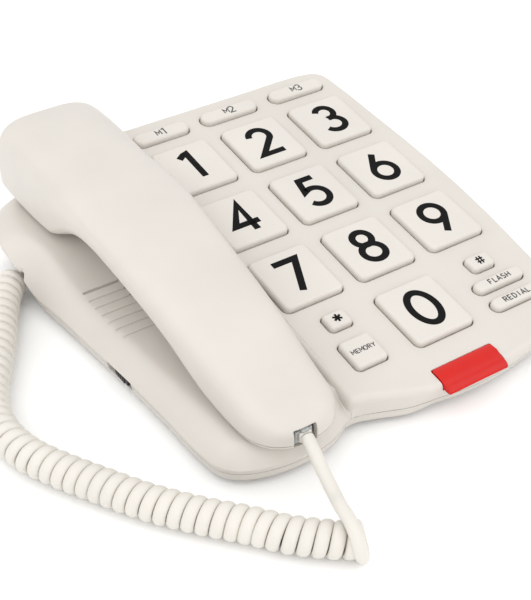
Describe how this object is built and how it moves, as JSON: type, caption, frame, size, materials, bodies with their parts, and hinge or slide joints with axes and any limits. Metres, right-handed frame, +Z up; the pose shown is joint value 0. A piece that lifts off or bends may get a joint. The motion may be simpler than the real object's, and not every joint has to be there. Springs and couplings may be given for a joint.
{
  "type": "corded desk telephone",
  "caption": "Corded desk telephone: sloping deck with oversized digit keys, left-hand cradle, handset and curly handset cord.",
  "frame": {"origin": "on the table, under the middle of the telephone's box without its cord", "axes": "+X to the right of the person dialling, +Y to the rear, +Z up"},
  "size_m": [0.2374, 0.2526, 0.0593],
  "materials": {
    "ivory_plastic": "fine satin moulded plastic",
    "key_plastic": "satin moulded plastic with black printing",
    "inner_plastic": "plain moulded plastic",
    "cord_jacket": "satin flexible jacket",
    "black_plastic": "matt",
    "lamp_red": "glossy tinted",
    "rubber": "matt",
    "circuit_board": "lacquered",
    "plug_plastic": "clear, glossy",
    "steel": "zinc plated",
    "led": "glossy",
    "silicone": "matt"
  },
  "bodies": {
    "base": {"base_bottom_shell": "ivory_plastic", "base_top_shell": "ivory_plastic", "keypad_mat": "silicone", "main_board": "circuit_board", "indicator_lens": "lamp_red", "indicator_led": "led", "ringer_speaker": "black_plastic", "ballast_plate": "steel", "hook_switch": "black_plastic", "ringer_switch_body": "black_plastic", "handset_jack_base": "inner_plastic", "cord_plug_base": "plug_plastic", "line_jack": "black_plastic", "cord_tail_handset": "cord_jacket", "cord_coil": "cord_jacket", "cord_tail_base": "cord_jacket", "foot_1": "rubber", "base_screw_1": "steel", "foot_2": "rubber", "base_screw_2": "steel", "foot_3": "rubber", "base_screw_3": "steel", "foot_4": "rubber", "base_screw_4": "steel"},
    "handset": {"handset_upper_shell": "ivory_plastic", "handset_lower_shell": "ivory_plastic", "receiver_capsule": "black_plastic", "microphone_capsule": "black_plastic", "handset_weight": "steel", "handset_jack": "inner_plastic", "handset_screw_1": "steel", "handset_screw_2": "steel", "cord_plug_handset": "plug_plastic"},
    "hook_plunger": {"hook_plunger": "inner_plastic"},
    "ringer_switch_knob": {"ringer_switch_knob": "black_plastic"},
    "key_1": {"key_1": "key_plastic"},
    "key_2": {"key_2": "key_plastic"},
    "key_3": {"key_3": "key_plastic"},
    "key_4": {"key_4": "key_plastic"},
    "key_5": {"key_5": "key_plastic"},
    "key_6": {"key_6": "key_plastic"},
    "key_7": {"key_7": "key_plastic"},
    "key_8": {"key_8": "key_plastic"},
    "key_9": {"key_9": "key_plastic"},
    "key_0": {"key_0": "key_plastic"},
    "key_memory_1": {"key_memory_1": "key_plastic"},
    "key_memory_2": {"key_memory_2": "key_plastic"},
    "key_memory_3": {"key_memory_3": "key_plastic"},
    "key_star": {"key_star": "key_plastic"},
    "key_store": {"key_store": "key_plastic"},
    "key_hash": {"key_hash": "key_plastic"},
    "key_flash": {"key_flash": "key_plastic"},
    "key_redial": {"key_redial": "key_plastic"}
  },
  "joints": [
    {"name": "handset_lift", "type": "slide", "parent": "base", "child": "handset", "axis": [0, 0, 1], "range_m": [0, 0.08]},
    {"name": "hook_travel", "type": "slide", "parent": "base", "child": "hook_plunger", "axis": [0, 0, 1], "range_m": [0, 0.003]},
    {"name": "ringer_switch_slide", "type": "slide", "parent": "base", "child": "ringer_switch_knob", "axis": [0, 1, 0], "range_m": [-0.003, 0.003]},
    {"name": "key_1_press", "type": "slide", "parent": "base", "child": "key_1", "axis": [0, 0.131, -0.9914], "range_m": [0, 0.0015], "stiffness_N_per_m": 400},
    {"name": "key_2_press", "type": "slide", "parent": "base", "child": "key_2", "axis": [0, 0.131, -0.9914], "range_m": [0, 0.0015], "stiffness_N_per_m": 400},
    {"name": "key_3_press", "type": "slide", "parent": "base", "child": "key_3", "axis": [0, 0.131, -0.9914], "range_m": [0, 0.0015], "stiffness_N_per_m": 400},
    {"name": "key_4_press", "type": "slide", "parent": "base", "child": "key_4", "axis": [0, 0.131, -0.9914], "range_m": [0, 0.0015], "stiffness_N_per_m": 400},
    {"name": "key_5_press", "type": "slide", "parent": "base", "child": "key_5", "axis": [0, 0.131, -0.9914], "range_m": [0, 0.0015], "stiffness_N_per_m": 400},
    {"name": "key_6_press", "type": "slide", "parent": "base", "child": "key_6", "axis": [0, 0.131, -0.9914], "range_m": [0, 0.0015], "stiffness_N_per_m": 400},
    {"name": "key_7_press", "type": "slide", "parent": "base", "child": "key_7", "axis": [0, 0.131, -0.9914], "range_m": [0, 0.0015], "stiffness_N_per_m": 400},
    {"name": "key_8_press", "type": "slide", "parent": "base", "child": "key_8", "axis": [0, 0.131, -0.9914], "range_m": [0, 0.0015], "stiffness_N_per_m": 400},
    {"name": "key_9_press", "type": "slide", "parent": "base", "child": "key_9", "axis": [0, 0.131, -0.9914], "range_m": [0, 0.0015], "stiffness_N_per_m": 400},
    {"name": "key_0_press", "type": "slide", "parent": "base", "child": "key_0", "axis": [0, 0.131, -0.9914], "range_m": [0, 0.0015], "stiffness_N_per_m": 400},
    {"name": "key_memory_1_press", "type": "slide", "parent": "base", "child": "key_memory_1", "axis": [0, 0.131, -0.9914], "range_m": [0, 0.0015], "stiffness_N_per_m": 400},
    {"name": "key_memory_2_press", "type": "slide", "parent": "base", "child": "key_memory_2", "axis": [0, 0.131, -0.9914], "range_m": [0, 0.0015], "stiffness_N_per_m": 400},
    {"name": "key_memory_3_press", "type": "slide", "parent": "base", "child": "key_memory_3", "axis": [0, 0.131, -0.9914], "range_m": [0, 0.0015], "stiffness_N_per_m": 400},
    {"name": "key_star_press", "type": "slide", "parent": "base", "child": "key_star", "axis": [0, 0.131, -0.9914], "range_m": [0, 0.0015], "stiffness_N_per_m": 400},
    {"name": "key_store_press", "type": "slide", "parent": "base", "child": "key_store", "axis": [0, 0.131, -0.9914], "range_m": [0, 0.0015], "stiffness_N_per_m": 400},
    {"name": "key_hash_press", "type": "slide", "parent": "base", "child": "key_hash", "axis": [0, 0.131, -0.9914], "range_m": [0, 0.0015], "stiffness_N_per_m": 400},
    {"name": "key_flash_press", "type": "slide", "parent": "base", "child": "key_flash", "axis": [0, 0.131, -0.9914], "range_m": [0, 0.0015], "stiffness_N_per_m": 400},
    {"name": "key_redial_press", "type": "slide", "parent": "base", "child": "key_redial", "axis": [0, 0.131, -0.9914], "range_m": [0, 0.0015], "stiffness_N_per_m": 400}
  ],
  "couplings": [
    {"joint": "hook_travel", "follows": "handset_lift", "ratio": 0.0375}
  ]
}
